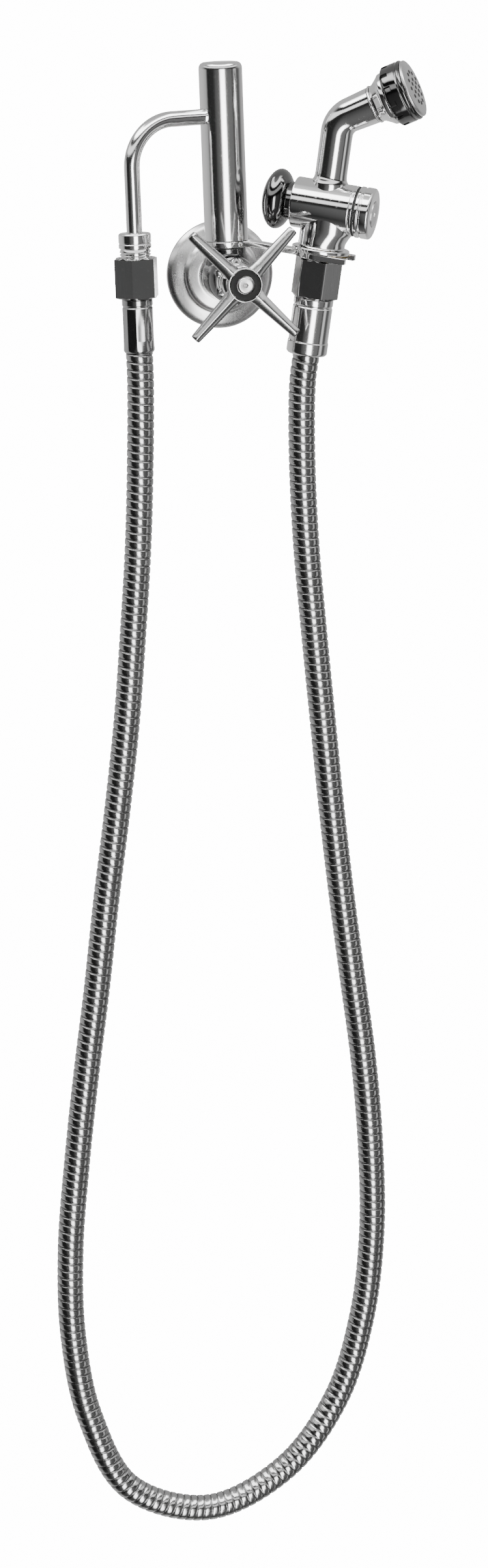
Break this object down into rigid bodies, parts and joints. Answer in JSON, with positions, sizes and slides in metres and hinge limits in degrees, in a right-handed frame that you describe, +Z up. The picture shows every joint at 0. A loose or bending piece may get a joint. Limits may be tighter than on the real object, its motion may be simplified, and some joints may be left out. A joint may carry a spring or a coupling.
{
  "type": "wall-mounted hose sprayer",
  "caption": "Wall valve with cross handle, anti-siphon column and fork rest, feeding a push-button spray handset through a long flexible metal hose.",
  "frame": {"origin": "centre of the wall flange's back face, on the valve's axis, in the plane of the wall", "axes": "+Z up, +Y into the wall, +X to the right as seen from the room; the valve's axis runs along -Y"},
  "size_m": [0.2743, 0.1308, 0.999],
  "materials": {
    "chrome": "polished chrome plate on brass",
    "stainless": "bright stainless steel",
    "brass": "machined brass",
    "rubber": "matt black rubber",
    "fibre": "pressed fibre",
    "black_plastic": "gloss black ring",
    "white_plastic": "moulded acetal"
  },
  "bodies": {
    "wall_unit": {"wall_flange": "chrome", "supply_shank": "brass", "shank_washer": "fibre", "shank_locknut": "brass", "valve_body": "chrome", "valve_seat_ring": "brass", "bonnet_gasket": "fibre", "valve_bonnet": "chrome", "stem_packing": "rubber", "packing_nut": "chrome", "fork_rest": "chrome", "column_tube": "chrome", "column_plug": "brass", "column_lower_seat": "brass", "column_air_ring": "brass", "side_outlet_tube": "chrome", "hose_adapter": "chrome", "inlet_hose_nut": "chrome", "inlet_hose_washer": "rubber", "inlet_hose_tail": "brass", "inlet_ferrule": "chrome", "hose": "stainless"},
    "stem_lift": {"disc_holder": "brass", "seat_washer": "rubber", "washer_screw": "brass"},
    "handle": {"valve_stem": "stainless", "cross_handle": "chrome", "index_ring": "black_plastic", "handle_screw": "stainless"},
    "poppet": {"column_poppet": "white_plastic", "poppet_seal": "rubber"},
    "hose_end": {"handset_hose_tail": "brass", "handset_ferrule": "chrome"},
    "handset": {"handset_nipple": "brass", "handset_hose_nut": "chrome", "handset_hose_washer": "rubber", "rest_flange": "chrome", "handset_body": "chrome", "handset_seat_ring": "brass", "button_spring": "stainless", "button_guide": "brass", "guide_oring": "rubber", "cap_gasket": "rubber", "end_cap": "chrome", "cap_plug": "stainless", "spout_elbow": "chrome", "spout_seam_ring": "chrome", "spray_cone": "chrome", "spray_ring": "chrome", "face_gasket": "rubber", "spray_face": "stainless"},
    "button": {"push_button": "chrome", "button_rod": "stainless", "handset_valve_disc": "rubber", "valve_disc_nut": "brass"}
  },
  "joints": [
    {"name": "stem_lift", "type": "slide", "parent": "wall_unit", "child": "stem_lift", "axis": [0, -1, 0], "range_m": [0, 0.0031]},
    {"name": "handle_turn", "type": "hinge", "parent": "stem_lift", "child": "handle", "pos_m": [0, 0, 0], "axis": [0, -1, 0], "range_deg": [0, 540]},
    {"name": "poppet_float", "type": "slide", "parent": "wall_unit", "child": "poppet", "axis": [0, 0, 1], "range_m": [0, 0.0045]},
    {"name": "handset_lift_off", "type": "slide", "parent": "wall_unit", "child": "hose_end", "axis": [0.8775, -0.4471, -0.1736], "range_m": [0, 0.06]},
    {"name": "handset_swivel", "type": "hinge", "parent": "hose_end", "child": "handset", "pos_m": [0.05662, -0.05585, 0.0165], "axis": [0.1547, -0.0788, 0.9848], "range_deg": [-40, 20]},
    {"name": "button_press", "type": "slide", "parent": "handset", "child": "button", "axis": [0.8775, -0.4471, -0.1736], "range_m": [0, 0.0036], "stiffness_N_per_m": 1500, "springref_m": -0.004}
  ],
  "couplings": [
    {"joint": "stem_lift", "follows": "handle_turn", "m_per_rad": 0.00031831}
  ]
}
